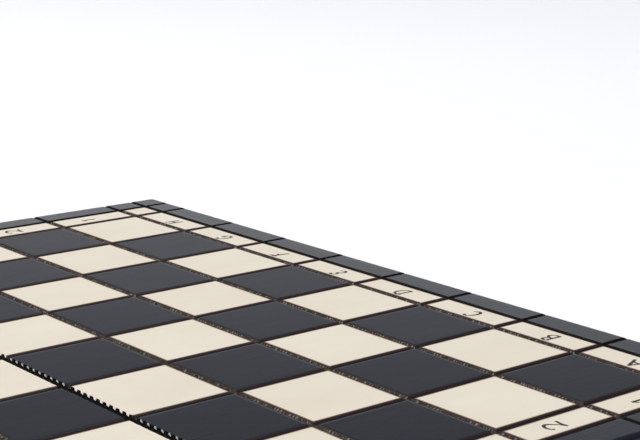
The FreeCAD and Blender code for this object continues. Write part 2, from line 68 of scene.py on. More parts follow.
# Section of a line: half its width and its depth, the rolled edge beside it, and places across these
LINE_HALF = 1.1 * MM
LINE_DEPTH = 0.9 * MM
SHOULDER = 0.45 * MM
ROLL = 0.07 * MM
LINE_SHARES = np.array([0, 0.2, 0.4, 0.6, 0.8, 1])
SHOULDER_SHARES = np.array([0.4, 1, 2])

# Torn fibre on the walls of lines cut across the grain: a row of beads, uneven by a spread
TEAR_PITCH = 1.15 * MM
TEAR_HEIGHT = 0.3 * MM
TEAR_SPREAD = 0.35
TEAR_MIDDLE = 0.6 * MM
TEAR_REACH = 0.5 * MM
BEAD_FILL = 0.8
LOWEST_BEAD = 1 - 2 * TEAR_SPREAD
SPARE_BEADS = 3

# Edge of each half at the fold: unequal, because the dark band there lies off the middle of the gap
LIPS = {"white": 0.8 * MM, "black": 1.5 * MM}
FOLD_DEPTH = 1.5 * MM
FOLD_FLARE = 0.6

# Teeth left between the cuts along the fold
TOOTH_PITCH = 3.2 * MM
TOOTH_HALF = TOOTH_PITCH / 6
TOOTH_REACH = 0.5 * MM
TOOTH_SLANT = 1.2
TOOTH_SLOPE = 0.7
TOOTH_FALL = 0.27
TOOTH_BURN = 0.4
NOTCH_ROUND = 0.3 * MM

# Grid of a panel: its steps, its rows beside the fold by their distance past the lip, and the digits
# that places are rounded to
FIBRE_STEP = TOOTH_PITCH / 9
ROW_STEP = 10 * MM
REACHES = MM * np.array([1.2, 1, 0.8, 0.64, 0.55, 0.46, 0.38, 0.3, 0.22, 0.15, 0.09, 0.04,
                         0, -0.1, -0.35, -0.85])
PLACE_DIGITS = 7

# A column this near to a tooth belongs to it, and shifts die out by this power towards the ends
TOOTH_SLACK = FIBRE_STEP / 4
END_TAPER = 8

# Width of the scorched lip of a pale square, and how burnt the middle of a line is
SCORCH = 0.8 * MM
FULL_BURN = 2

# Edges that turn by more than this stay sharp
SHARP_ANGLE = math.radians(40)

HALVES = {"white": 1, "black": -1}


def linear(code):
    """Linear colour with full alpha from an sRGB hex code."""
    parts = np.array([int(code[i:i + 2], 16) for i in (1, 3, 5)]) / 255
    low = parts / 12.92
    high = ((parts + 0.055) / 1.055) ** 2.4
    return (*np.where(parts <= 0.04045, low, high), 1.0)


def add_node(tree, kind, settings=(), links=()):
    """Add a node: settings go to its inputs or properties, and links come from (node, output)."""
    made = tree.nodes.new(kind)
    for name, value in dict(settings).items():
        if isinstance(name, int) or name in made.inputs:
            made.inputs[name].default_value = value
        else:
            setattr(made, name, value)
    for name, (source, output) in dict(links).items():
        tree.links.new(source.outputs[output], made.inputs[name])
    return made


def new_material(name):
    """Material with an empty node tree."""
    material = bpy.data.materials.new(name)
    material.use_nodes = True
    material.node_tree.nodes.clear()
    return material, material.node_tree


def finish_material(tree, settings, links):
    """Close a material with one surface shader and its output."""
    shader = add_node(tree, "ShaderNodeBsdfPrincipled", settings, links)
    add_node(tree, "ShaderNodeOutputMaterial", (), {"Surface": (shader, 0)})


# Sockets of the node that mixes two colours
MIX_FACTOR, MIX_FIRST, MIX_SECOND, MIX_COLOUR = 0, 6, 7, 2

# Widths and lengths of streaks. Maple has a fine, straight grain: growth bands some millimetres wide,
# and fibres drawn coarser than the real ones, which are too fine to show
GROWTH = (6 * MM, 160 * MM)
FIBRE = (0.9 * MM, 30 * MM)
PATCH = (25 * MM, 60 * MM)
TORN = (0.8 * MM, 1.2 * MM)
TARNISH = (5 * MM, 7 * MM)
MATTING = (2.5 * MM, 3 * MM)
HAIR = (0.3 * MM, 1.2 * MM)

# Most of the noise lies between these two values
NOISE_LOW, NOISE_HIGH = 0.3, 0.7

# Widths over which the soot of a notch and the dull end grain of a rail fade out
NOTCH_FADE = 0.1 * MM
END_FADE = 0.4 * MM


def streaks(tree, grain, size):
    """Noise from 0 to 1, as wide across the grain and as long along the grain axis as the size says."""
    width, length = size
    scale = [1 / width] * 3
    scale["XYZ".index(grain)] = 1 / length
    place = add_node(tree, "ShaderNodeTexCoord")
    spread = add_node(tree, "ShaderNodeMapping", {"Scale": scale}, {"Vector": (place, "Object")})
    return add_node(tree, "ShaderNodeTexNoise", {"Scale": 1, "Detail": 3, "Roughness": 0.6},
                    {"Vector": (spread, 0)})


def two_tones(tree, first, second, factor):
    """Colour that goes from the first tone to the second over most of the range of a noise."""
    spread = add_node(tree, "ShaderNodeMapRange", {"From Min": NOISE_LOW, "From Max": NOISE_HIGH},
                      {"Value": factor})
    return add_node(tree, "ShaderNodeMix",
                    {"data_type": "RGBA", MIX_FIRST: linear(first), MIX_SECOND: linear(second)},
                    {MIX_FACTOR: (spread, 0)})


def bleached_maple():
    """Bleached maple under thin lacquer: uneven cream, scorched brown at the lips of the lines."""
    material, tree = new_material("bleached_maple")
    patch = streaks(tree, "Y", PATCH)
    fibre = streaks(tree, "Y", FIBRE)
    broad = two_tones(tree, "#EEE4D0", "#E8DDC8", (patch, 0))
    fine = add_node(tree, "ShaderNodeMix",
                    {"data_type": "RGBA", "blend_type": "MULTIPLY", MIX_FACTOR: 0.03},
                    {MIX_FIRST: (broad, MIX_COLOUR), MIX_SECOND: (fibre, 1)})
    burn = add_node(tree, "ShaderNodeAttribute", {"attribute_name": "burn"})
    brown = add_node(tree, "ShaderNodeMapRange", {"From Min": 0.1, "From Max": 0.7},
                     {"Value": (burn, "Fac")})
    black = add_node(tree, "ShaderNodeMapRange", {"From Min": 0.4, "From Max": 0.9},
                     {"Value": (burn, "Fac")})
    scorch = add_node(tree, "ShaderNodeMix",
                      {"data_type": "RGBA", MIX_FIRST: linear("#84502C"), MIX_SECOND: linear("#2B1B17")},
                      {MIX_FACTOR: (black, 0)})
    colour = add_node(tree, "ShaderNodeMix", {"data_type": "RGBA"},
                      {MIX_FACTOR: (brown, 0), MIX_FIRST: (fine, MIX_COLOUR),
                       MIX_SECOND: (scorch, MIX_COLOUR)})
    gloss = add_node(tree, "ShaderNodeMapRange", {"To Min": 0.34, "To Max": 0.44},
                     {"Value": (fibre, 0)})
    relief = add_node(tree, "ShaderNodeBump", {"Strength": 0.2, "Distance": 0.02 * MM},
                      {"Height": (fibre, 0)})
    finish_material(tree, {"IOR": 1.48}, {"Base Color": (colour, MIX_COLOUR), "Roughness": (gloss, 0),
                                          "Normal": (relief, 0)})
    return material


def black_stain(tree, grain, dark, light, pores):
    """Colour, gloss and relief of black stain: two tones in the growth bands, and pores of a depth."""
    growth = streaks(tree, grain, GROWTH)
    fibre = streaks(tree, grain, FIBRE)
    broad = two_tones(tree, dark, light, (growth, 0))
    colour = add_node(tree, "ShaderNodeMix",
                      {"data_type": "RGBA", "blend_type": "MULTIPLY", MIX_FACTOR: 0.4},
                      {MIX_FIRST: (broad, MIX_COLOUR), MIX_SECOND: (fibre, 1)})
    gloss = add_node(tree, "ShaderNodeMapRange", {"To Min": 0.24, "To Max": 0.36},
                     {"Value": (fibre, 0)})
    relief = add_node(tree, "ShaderNodeBump", {"Strength": 0.3, "Distance": pores},
                      {"Height": (fibre, 0)})
    return colour, gloss, relief


def black_maple():
    """Black-stained maple under satin lacquer: blue-black, with the grain just showing through."""
    material, tree = new_material("black_maple")
    colour, gloss, relief = black_stain(tree, "Y", "#11121B", "#1B1A21", pores=0.03 * MM)
    finish_material(tree, {"IOR": 1.48}, {"Base Color": (colour, MIX_COLOUR), "Roughness": (gloss, 0),
                                          "Normal": (relief, 0)})
    return material


def rail_maple(name, grain, first_line, last_line, end, across, inner_side):
    """Black-stained rail under satin lacquer: open grain, dull ends, and bare soot in its lines."""
    material, tree = new_material(name)
    colour, gloss, relief = black_stain(tree, grain, "#0B0C13", "#26252C", pores=0.12 * MM)
    place = add_node(tree, "ShaderNodeTexCoord")
    axes = add_node(tree, "ShaderNodeSeparateXYZ", (), {"Vector": (place, "Object")})
    out = add_node(tree, "ShaderNodeMath", {"operation": "ABSOLUTE"}, {0: (axes, grain)})
    aside = add_node(tree, "ShaderNodeMath", {"operation": "ABSOLUTE"}, {0: (axes, across)})
    past = add_node(tree, "ShaderNodeMath", {"operation": "SUBTRACT", 1: first_line}, {0: (out, 0)})
    nearest = add_node(tree, "ShaderNodeMath", {"operation": "PINGPONG", 1: SQUARE / 2},
                       {0: (past, 0)})
    for coordinate, line in ((out, last_line), (aside, inner_side)):
        beyond = add_node(tree, "ShaderNodeMath", {"operation": "SUBTRACT", 1: line},
                          {0: (coordinate, 0)})
        distance = add_node(tree, "ShaderNodeMath", {"operation": "ABSOLUTE"}, {0: (beyond, 0)})
        nearest = add_node(tree, "ShaderNodeMath", {"operation": "MINIMUM"},
                           {0: (nearest, 0), 1: (distance, 0)})
    beside = add_node(tree, "ShaderNodeMapRange",
                      {"From Min": LINE_HALF, "From Max": LINE_HALF - NOTCH_FADE},
                      {"Value": (nearest, 0)})
    just_below = TOP - LINE_DEPTH - NOTCH_FADE
    above = add_node(tree, "ShaderNodeMapRange",
                     {"From Min": just_below - NOTCH_FADE, "From Max": just_below},
                     {"Value": (axes, "Z")})
    sooty = add_node(tree, "ShaderNodeMath", {"operation": "MULTIPLY"},
                     {0: (beside, 0), 1: (above, 0)})
    end_grain = add_node(tree, "ShaderNodeMapRange",
                         {"From Min": end - END_FADE, "From Max": end - NOTCH_FADE, "To Max": 0.6},
                         {"Value": (out, 0)})
    bare = add_node(tree, "ShaderNodeMath", {"operation": "MAXIMUM"},
                    {0: (sooty, 0), 1: (end_grain, 0)})
    lacquer = add_node(tree, "ShaderNodeMath", {"operation": "SUBTRACT", 0: 1}, {1: (bare, 0)})
    soot = add_node(tree, "ShaderNodeMix", {"data_type": "RGBA", MIX_SECOND: linear("#0C0A0A")},
                    {MIX_FACTOR: (bare, 0), MIX_FIRST: (colour, MIX_COLOUR)})
    dull = add_node(tree, "ShaderNodeMapRange", {"To Max": 0.8},
                    {"Value": (bare, 0), "To Min": (gloss, 0)})
    finish_material(tree, {"Specular IOR Level": 0.12, "Coat Roughness": 0.3, "Coat IOR": 1.48},
                    {"Base Color": (soot, MIX_COLOUR), "Roughness": (dull, 0), "Normal": (relief, 0),
                     "Coat Normal": (relief, 0), "Coat Weight": (lacquer, 0)})
    return material


def finish_char(tree, settings, colour, soot, gloss_range):
    """Close a charred material whose gloss is as uneven as its soot."""
    gloss = add_node(tree, "ShaderNodeMapRange", {"To Min": gloss_range[0], "To Max": gloss_range[1]},
                     {"Value": (soot, 0)})
    finish_material(tree, settings, {"Base Color": (colour, MIX_COLOUR), "Roughness": (gloss, 0)})


def charred_maple():
    """Maple burnt by the cutter along the grain: a smooth matt groove, brown lips and black below."""
    material, tree = new_material("charred_maple")
    burn = add_node(tree, "ShaderNodeAttribute", {"attribute_name": "burn"})
    depth = add_node(tree, "ShaderNodeMapRange", {"From Min": 1, "From Max": 1.3},
                     {"Value": (burn, "Fac")})
    soot = streaks(tree, "Y", FIBRE)
    colour = add_node(tree, "ShaderNodeMix",
                      {"data_type": "RGBA", MIX_FIRST: linear("#40281F"), MIX_SECOND: linear("#1D1415")},
                      {MIX_FACTOR: (depth, 0)})
    finish_char(tree, {"IOR": 1.45}, colour, soot, gloss_range=(0.45, 0.65))
    return material


def torn_char():
    """Charred end grain in a line: sooty and matt, and grey where loose fibres stand up in it: a painted
    highlight in place of the glints of the fibre tips.
    """
    material, tree = new_material("torn_char")
    soot = streaks(tree, "Y", TORN)
    char = two_tones(tree, "#100A08", "#4E4136", (soot, 0))
    # Grey on the bead crests is a painted highlight for the glints of the torn fibre
    fibre = two_tones(tree, "#57504D", "#8C837C", (soot, 0))
    tear = add_node(tree, "ShaderNodeAttribute", {"attribute_name": "tear"})
    painted_crest_highlight = add_node(tree, "ShaderNodeMapRange", {"From Min": 0.5, "From Max": 0.64},
                      {"Value": (tear, "Fac")})
    colour = add_node(tree, "ShaderNodeMix", {"data_type": "RGBA"},
                      {MIX_FACTOR: (painted_crest_highlight, 0), MIX_FIRST: (char, MIX_COLOUR),
                       MIX_SECOND: (fibre, MIX_COLOUR)})
    finish_char(tree, {"Specular IOR Level": 0.12}, colour, soot, gloss_range=(0.5, 0.75))
    return material


def fold_char_with_painted_shade():
    """Walls of the fold: charred black and matt with soot, and darkened further to near black as painted
    shade for the narrow gap.
    """
    material, tree = new_material("fold_char_with_painted_shade")
    soot = streaks(tree, "Y", TORN)
    # Near black: the char of the fold, darkened further as painted shade in the gap
    colour = two_tones(tree, "#020202", "#0B0809", (soot, 0))
    finish_char(tree, {"Specular IOR Level": 0.12}, colour, soot, gloss_range=(0.5, 0.75))
    return material


def lacquered_char():
    """Charred fibre soaked with lacquer: black, and glossy enough for each tooth to catch the light."""
    material, tree = new_material("lacquered_char")
    soot = streaks(tree, "Y", TORN)
    colour = two_tones(tree, "#151216", "#241D20", (soot, 0))
    finish_char(tree, {"Specular IOR Level": 0.6}, colour, soot, gloss_range=(0.14, 0.3))
    return material


def script_ink():
    """Black ink soaked into bare wood: a matt brown-black, thinner where the fibres stand up."""
    material, tree = new_material("script_ink")
    fibre = streaks(tree, "Y", FIBRE)
    colour = two_tones(tree, "#17110F", "#3A2C26", (fibre, 0))
    finish_material(tree, {"Roughness": 0.55}, {"Base Color": (colour, MIX_COLOUR)})
    return material


def brass(name, bright, dull, gloss_range, grain, size):
    """Yellow brass: warm metal, bright where rubbed and brown where dull, with marks of its making."""
    material, tree = new_material(name)
    marks = streaks(tree, grain, size)
    stain = streaks(tree, grain, TARNISH)
    colour = two_tones(tree, bright, dull, (stain, 0))
    gloss = add_node(tree, "ShaderNodeMapRange", {"To Min": gloss_range[0], "To Max": gloss_range[1]},
                     {"Value": (marks, 0)})
    relief = add_node(tree, "ShaderNodeBump", {"Strength": 0.2, "Distance": 0.02 * MM},
                      {"Height": (marks, 0)})
    finish_material(tree, {"Metallic": 1}, {"Base Color": (colour, MIX_COLOUR), "Roughness": (gloss, 0),
                                            "Normal": (relief, 0)})
    return material


def wool_felt():
    """Pressed wool felt: matt green, mottled where the fibres mat, with a soft bloom at the edges."""
    material, tree = new_material("wool_felt")
    matting = streaks(tree, "X", MATTING)
    hair = streaks(tree, "X", HAIR)
    broad = two_tones(tree, "#0F5A38", "#1B7048", (matting, 0))
    colour = add_node(tree, "ShaderNodeMix",
                      {"data_type": "RGBA", "blend_type": "MULTIPLY", MIX_FACTOR: 0.5},
                      {MIX_FIRST: (broad, MIX_COLOUR), MIX_SECOND: (hair, 1)})
    relief = add_node(tree, "ShaderNodeBump", {"Strength": 0.6, "Distance": 0.2 * MM},
                      {"Height": (hair, 0)})
    finish_material(tree, {"Roughness": 0.95, "Sheen Weight": 0.4, "Sheen Roughness": 0.5},
                    {"Base Color": (colour, MIX_COLOUR), "Normal": (relief, 0)})
    return material


def painted_floor():
    """White matt paint."""
    material, tree = new_material("painted_floor")
    finish_material(tree, {"Base Color": linear("#FDFDFC"), "Roughness": 0.8}, {})
    return material


# Finishes, those of a panel in the order of their kinds
PALE, DARK, FILE_LINE, RANK_LINE, FOLD, DARK_TOOTH = range(6)
PANEL_FINISHES = [bleached_maple(), black_maple(), charred_maple(), torn_char(), fold_char_with_painted_shade(),
                  lacquered_char()]
RAIL_ALONG_RANKS = rail_maple("rail_along_ranks", grain="X", first_line=0, last_line=PANEL_HALF,
                              end=outer_rail_high.x, across="Y", inner_side=PANEL_FAR)
RAIL_ALONG_FILES = rail_maple("rail_along_files", grain="Y", first_line=SEAM, last_line=PANEL_FAR,
                              end=end_rail_high.y, across="X", inner_side=PANEL_HALF)
SCRIPT_INK = script_ink()
STAMPED_BRASS = brass("stamped_brass", bright="#C9A356", dull="#A37F3C", gloss_range=(0.3, 0.45),
                      grain="X", size=(0.3 * MM, 8 * MM))
POLISHED_BRASS = brass("polished_brass", bright="#D9B564", dull="#B08C45", gloss_range=(0.15, 0.3),
                       grain="X", size=(0.6 * MM, 3 * MM))
TURNED_BRASS = brass("turned_brass", bright="#CFAA5A", dull="#A8843F", gloss_range=(0.22, 0.4),
                     grain="Y", size=(0.4 * MM, 0.8 * MM))
WOOL_FELT = wool_felt()


def grid_quads(rows, columns):
    """Corner numbers of the cells of a grid whose points are counted row by row."""
    first = (np.arange(rows - 1)[:, None] * columns + np.arange(columns - 1)).ravel()
    return np.stack([first, first + 1, first + columns + 1, first + columns], axis=1)


def make_piece(name, points, faces, materials, kinds, body):
    """Mesh object that rides on a body; kinds says which material each face has."""
    mesh = bpy.data.meshes.new(name)
    mesh.from_pydata(points, [], faces)
    for material in materials:
        mesh.materials.append(material)
    mesh.polygons.foreach_set("material_index", np.asarray(kinds, dtype=np.int32))
    mesh.polygons.foreach_set("use_smooth", np.ones(len(mesh.polygons), dtype=bool))
    mesh.set_sharp_from_angle(angle=SHARP_ANGLE)
    mesh.update()
    piece = bpy.data.objects.new(name, mesh)
    bpy.context.scene.collection.objects.link(piece)
    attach(piece, body)
    return piece


# Playing panels
def places_between(lines, step):
    """Places from the first line to the last: close together at a line, at whole steps between."""
    near = np.concatenate([LINE_HALF * LINE_SHARES, LINE_HALF + SHOULDER * SHOULDER_SHARES])
    places = [lines[:, None] + near, lines[:, None] - near]
    for start, end in zip(lines[:-1] + near[-1], lines[1:] - near[-1]):
        places.append(step * np.arange(math.floor(start / step) + 1, math.ceil(end / step)))
    places = np.concatenate([group.ravel() for group in places])
    return np.unique(np.clip(places, lines[0], lines[-1]).round(PLACE_DIGITS))


def rank_places(lip):
    """Places across the ranks of one half, closest together beside the lip of the fold."""
    beside = SEAM + np.concatenate([[0], lip - REACHES[REACHES < lip]])
    places = places_between(RANK_LINES, ROW_STEP)
    return np.concatenate([beside, places[places > beside[-1] + SHOULDER]])


def distance_to(places, lines):
    """Distance of each place from the line nearest to it."""
    return np.abs(places[:, None] - lines).min(axis=1)


def line_cut(distance):
    """Depth of a line: a parabola across its width, with the edges beside it rolled down a little."""
    bowl = ROLL + (LINE_DEPTH - ROLL) * (1 - (distance / LINE_HALF) ** 2)
    roll = ROLL * np.clip(1 - (distance - LINE_HALF) / SHOULDER, 0, 1) ** 2
    return np.where(distance < LINE_HALF, bowl, roll)


def beads(places, rng):
    """Row of half-round beads from 0 to 1 with notches between, uneven in length and height."""
    count = int(np.ptp(places) / (TEAR_PITCH * (1 - TEAR_SPREAD))) + SPARE_BEADS
    steps = TEAR_PITCH * rng.uniform(1 - TEAR_SPREAD, 1 + TEAR_SPREAD, count)
    notches = places.min() - TEAR_PITCH / 2 + np.cumsum(steps) - steps[0]
    heights = rng.uniform(LOWEST_BEAD, 1, count)
    after = np.clip(np.searchsorted(notches, places, side="right"), 1, count - 1)
    share = (places - notches[after - 1]) / (notches[after] - notches[after - 1])
    return heights[after] * np.sqrt(np.clip(1 - ((2 * share - 1) / BEAD_FILL) ** 2, 0, 1))


def torn_walls(x, y, rng):
    """Height that torn fibre adds on both walls of the lines along the ranks."""
    height = np.zeros((len(y), len(x)))
    for line in RANK_LINES[1:]:
        for wall in (-1, 1):
            reach = wall * (y - line)
            window = np.clip(1 - ((reach - TEAR_MIDDLE) / TEAR_REACH) ** 2, 0, 1)[:, None]
            height += TEAR_HEIGHT * window * beads(x, rng)
    return height


def fold_wall(y, lip):
    """Distance of each place past the fold's lip, and the depth of a wall that flares to the gap."""
    reach = np.clip(SEAM + lip - y, 0, None)[:, None]
    return reach, FOLD_DEPTH * (reach / lip) ** FOLD_FLARE


def fold_teeth(x, y, lip):
    """Where teeth stand on the fold's wall, and their depth: tilted flat faces between the notches."""
    reach, deep = fold_wall(y, lip)
    offset = np.mod(x, TOOTH_PITCH) - TOOTH_PITCH / 2
    tooth = (np.abs(offset) < TOOTH_HALF + TOOTH_SLACK) & (reach > 0) & (reach < TOOTH_REACH)
    face = TOOTH_SLOPE * reach + TOOTH_FALL * (offset + TOOTH_SLANT * reach)
    return tooth, np.clip(face, 0, deep)


def tooth_shift(x, y, lip):
    """How far columns of the grid move to run along slanting teeth and round the tops of notches."""
    reach = fold_wall(y, lip)[0]
    offset = np.mod(x, TOOTH_PITCH) - TOOTH_PITCH / 2
    arch = np.sqrt(1 - np.clip(1 - reach / NOTCH_ROUND, 0, 1) ** 2)
    half = TOOTH_PITCH / 2 - (TOOTH_PITCH / 2 - TOOTH_HALF) * arch
    in_tooth = np.abs(offset) * half / TOOTH_HALF
    in_notch = TOOTH_PITCH / 2 - (TOOTH_PITCH / 2 - np.abs(offset)) * arch
    moved = np.sign(offset) * np.where(np.abs(offset) < TOOTH_HALF, in_tooth, in_notch) - offset
    shift = np.where(reach > 0, moved + TOOTH_SLANT * reach, 0)
    return shift * (1 - (x / PANEL_HALF) ** END_TAPER)


def fold_cut(x, y, lip):
    """Depth beside the fold: its wall, or the faces of the teeth that stand on it."""
    deep = fold_wall(y, lip)[1]
    tooth, face = fold_teeth(x, y, lip)
    return np.where(tooth, face, deep)


def panel_kinds(x, y, lip):
    """Finish of each cell of the upper face."""
    x = (x[1:] + x[:-1]) / 2
    y = (y[1:] + y[:-1]) / 2
    file_depth = line_cut(distance_to(x, FILE_LINES))
    rank_depth = line_cut(distance_to(y, RANK_LINES[1:]))[:, None]
    count = np.floor((FIELD_HALF - x) / SQUARE) + np.floor((FIELD_FAR - y) / SQUARE)[:, None]
    on_field = (np.abs(x) < FIELD_HALF) & (y < FIELD_FAR)[:, None]
    kinds = np.where(on_field & (count % 2 == 0), DARK, PALE)
    kinds = np.where((file_depth > ROLL) & (file_depth > rank_depth), FILE_LINE, kinds)
    kinds = np.where((rank_depth > ROLL) & (rank_depth >= file_depth), RANK_LINE, kinds)
    tooth_kinds = np.where(kinds == PALE, PALE, DARK_TOOTH)
    fold_kinds = np.where(fold_teeth(x, y, lip)[0], tooth_kinds, FOLD)
    return np.where((y < SEAM + lip)[:, None], fold_kinds, kinds)


def burn_marks(x, y, lip):
    """How burnt each point is: 1 at the lip of a line, 2 at its middle, and less on the teeth."""
    beyond_file = distance_to(x, FILE_LINES) - LINE_HALF
    beyond_rank = distance_to(y, RANK_LINES[1:]) - LINE_HALF
    beyond = np.minimum(beyond_file, beyond_rank[:, None])
    line_burn = np.clip(1 - beyond / SCORCH, 0, 1) + np.clip(-beyond / LINE_HALF, 0, 1)
    return np.maximum(line_burn, TOOTH_BURN * fold_wall(y, lip)[0] / TOOTH_REACH)


def panel_faces(rows, columns):
    """Faces of a panel: its upper grid, its sides at the fold and far away, its underside and ends."""
    near, far = rows * columns, (rows + 1) * columns
    step = np.arange(columns - 1)
    last = (rows - 1) * columns
    fold_face = np.stack([near + step, near + step + 1, step + 1, step], axis=1)
    far_face = np.stack([far + step + 1, far + step, last + step, last + step + 1], axis=1)
    underside = np.stack([far + step, far + step + 1, near + step + 1, near + step], axis=1)
    quads = np.concatenate([grid_quads(rows, columns), fold_face, far_face, underside])
    column = columns * np.arange(rows)
    first_end = [near, *column, far]
    last_end = [far + columns - 1, *(column[::-1] + columns - 1), near + columns - 1]
    return quads.tolist() + [first_end, last_end]


def playing_panel(half, turn, seed):
    """Panel of one half: its height is the top less the deepest of the line cuts and of the fold."""
    x = places_between(FILE_LINES, FIBRE_STEP)
    lip = LIPS[half]
    y = rank_places(lip)
    file_cut = line_cut(distance_to(x, FILE_LINES))
    torn = torn_walls(x, y, np.random.default_rng(seed))
    rank_cut = line_cut(distance_to(y, RANK_LINES[1:]))[:, None] - torn
    cut = np.maximum(np.maximum(file_cut, rank_cut), fold_cut(x, y, lip))
    rows, columns = cut.shape
    column_x = x + tooth_shift(x, y, lip)
    surface = np.broadcast_arrays(turn * column_x, turn * y[:, None], WOOD_TOP - cut)
    upper = np.stack(surface, axis=2).reshape(-1, 3)
    lower = np.concatenate([upper[:columns], upper[-columns:]])
    lower[:, 2] = UNDERSIDE
    sides = np.repeat([FOLD, RANK_LINE, PALE], columns - 1)
    kinds = np.concatenate([panel_kinds(x, y, lip).ravel(), sides, [RANK_LINE, RANK_LINE]])
    piece = make_piece(f"{half}_board_panel", np.concatenate([upper, lower]), panel_faces(rows, columns),
                       PANEL_FINISHES, kinds, f"{half}_half")
    marks = (("burn", burn_marks(x, y, lip), FULL_BURN), ("tear", torn / TEAR_HEIGHT, 0))
    for mark, above, below in marks:
        values = np.concatenate([above.ravel(), np.full(len(lower), below)])
        piece.data.attributes.new(mark, "FLOAT", "POINT").data.foreach_set("value", values)
    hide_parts(f"{half}_playing_panel")


for number, (half, turn) in enumerate(HALVES.items()):
    playing_panel(half, turn, number)

# Coordinates, written with a broad nib: strokes of each sign, in shares of its height
STROKES = {
    "1": [[(0.08, 0.74), (0.2, 0.84), (0.32, 1)], [(0.32, 1), (0.31, 0.5), (0.3, 0)]],
    "2": [[(0.06, 0.76), (0.16, 0.91), (0.38, 0.97), (0.62, 0.88), (0.7, 0.68), (0.57, 0.44),
           (0.32, 0.21), (0.02, 0.02)],
          [(0.02, 0.02), (0.36, 0.06), (0.74, 0)]],
    "3": [[(0.05, 0.85), (0.2, 0.99), (0.4, 0.95), (0.44, 0.75), (0.3, 0.58), (0.18, 0.53)],
          [(0.18, 0.53), (0.38, 0.5), (0.5, 0.3), (0.38, 0.06), (0.18, 0), (0.02, 0.1)]],
    "4": [[(0.36, 1), (0.2, 0.66), (0.02, 0.34)], [(0.02, 0.34), (0.28, 0.33), (0.56, 0.36)],
          [(0.42, 0.62), (0.39, 0.3), (0.35, 0)]],
    "5": [[(0.16, 0.98), (0.12, 0.76), (0.08, 0.58)],
          [(0.08, 0.58), (0.26, 0.64), (0.46, 0.54), (0.5, 0.3), (0.36, 0.06), (0.16, 0), (0, 0.1)],
          [(0.16, 0.98), (0.32, 0.95), (0.52, 1)]],
    "6": [[(0.46, 0.98), (0.24, 0.86), (0.06, 0.5), (0.06, 0.18), (0.24, 0), (0.44, 0.12), (0.46, 0.36),
           (0.3, 0.52), (0.1, 0.4)]],
    "7": [[(0.02, 0.9), (0.16, 0.98), (0.34, 0.93), (0.54, 0.98)],
          [(0.54, 0.98), (0.34, 0.6), (0.2, 0)]],
    "8": [[(0.27, 0.54), (0.1, 0.68), (0.1, 0.88), (0.27, 1), (0.44, 0.9), (0.42, 0.7), (0.27, 0.54),
           (0.08, 0.36), (0.05, 0.14), (0.24, 0), (0.46, 0.12), (0.46, 0.34), (0.27, 0.54)]],
    "A": [[(0, 0), (0.16, 0.5), (0.32, 1)], [(0.32, 1), (0.5, 0.5), (0.72, 0)],
          [(0.12, 0.36), (0.34, 0.38), (0.58, 0.36)]],
    "B": [[(0.12, 1), (0.1, 0.5), (0.06, 0)],
          [(0, 0.9), (0.2, 1), (0.42, 0.94), (0.44, 0.72), (0.3, 0.56), (0.12, 0.53)],
          [(0.12, 0.53), (0.4, 0.5), (0.54, 0.28), (0.4, 0.04), (0.18, 0), (0, 0.04)]],
    "C": [[(0.54, 0.84), (0.42, 0.99), (0.2, 0.9), (0.04, 0.5), (0.1, 0.12), (0.3, 0), (0.56, 0.16)]],
    "D": [[(0.16, 1), (0.12, 0.5), (0.06, 0)],
          [(0, 0.92), (0.24, 1), (0.52, 0.86), (0.6, 0.5), (0.44, 0.12), (0.2, 0), (0, 0.04)]],
    "E": [[(0.5, 0.88), (0.34, 1), (0.14, 0.9), (0.14, 0.66), (0.32, 0.54)],
          [(0.32, 0.54), (0.08, 0.42), (0.02, 0.18), (0.2, 0), (0.5, 0.14)]],
    "F": [[(0.2, 0.96), (0.16, 0.5), (0.06, 0.04), (-0.04, 0.02)],
          [(0.02, 0.9), (0.2, 0.98), (0.38, 0.93), (0.56, 1)],
          [(0.08, 0.52), (0.26, 0.54), (0.42, 0.52)]],
    "G": [[(0.54, 0.84), (0.4, 0.99), (0.18, 0.9), (0.03, 0.5), (0.1, 0.12), (0.3, 0), (0.5, 0.12),
           (0.54, 0.42)],
          [(0.36, 0.42), (0.54, 0.42), (0.66, 0.45)]],
    "H": [[(0.12, 1), (0.1, 0.5), (0.04, 0)], [(0.56, 1), (0.52, 0.5), (0.48, 0)],
          [(0.06, 0.48), (0.3, 0.5), (0.56, 0.54)]],
}

# Signs: their height, their middle in shares of it, and how far they stand off the middle of the band
SIGN_HEIGHT = 6 * MM
SIGN_MIDDLE = (0.43, 0.5)
RANK_RISE = 2.2 * MM
FILE_RISE = 0.85 * MM
FILE_INDENT = 1 * MM

# Pen and ink: the nib's angle and widths, the ink's root in the wood, and the step between strokes
NIB_ANGLE = math.radians(40)
NIB_THIN = 0.46 * MM
NIB_BROAD = 1 * MM
INK_ROOT = 0.1 * MM
INK_LAYER = 0.004 * MM

# Places between two points of a stroke, and corners of a stroke's section
CURVE_STEPS = 8
RIBBON_CORNERS = 4


def smooth_line(points):
    """Curve through the points: cubics that leave each point along the line of its neighbours."""
    points = np.array(points, dtype=float)
    ends = [2 * points[:1] - points[1:2], points, 2 * points[-1:] - points[-2:-1]]
    before, start, end, after = (np.concatenate(ends)[i:i + len(points) - 1, None] for i in range(4))
    share = np.linspace(0, 1, CURVE_STEPS, endpoint=False)[None, :, None]
    square_part = (2 * before - 5 * start + 4 * end - after) * share ** 2
    cube_part = (3 * start - before - 3 * end + after) * share ** 3
    curve = start + 0.5 * ((end - before) * share + (square_part + cube_part))
    return np.concatenate([curve.reshape(-1, 2), points[-1:]])


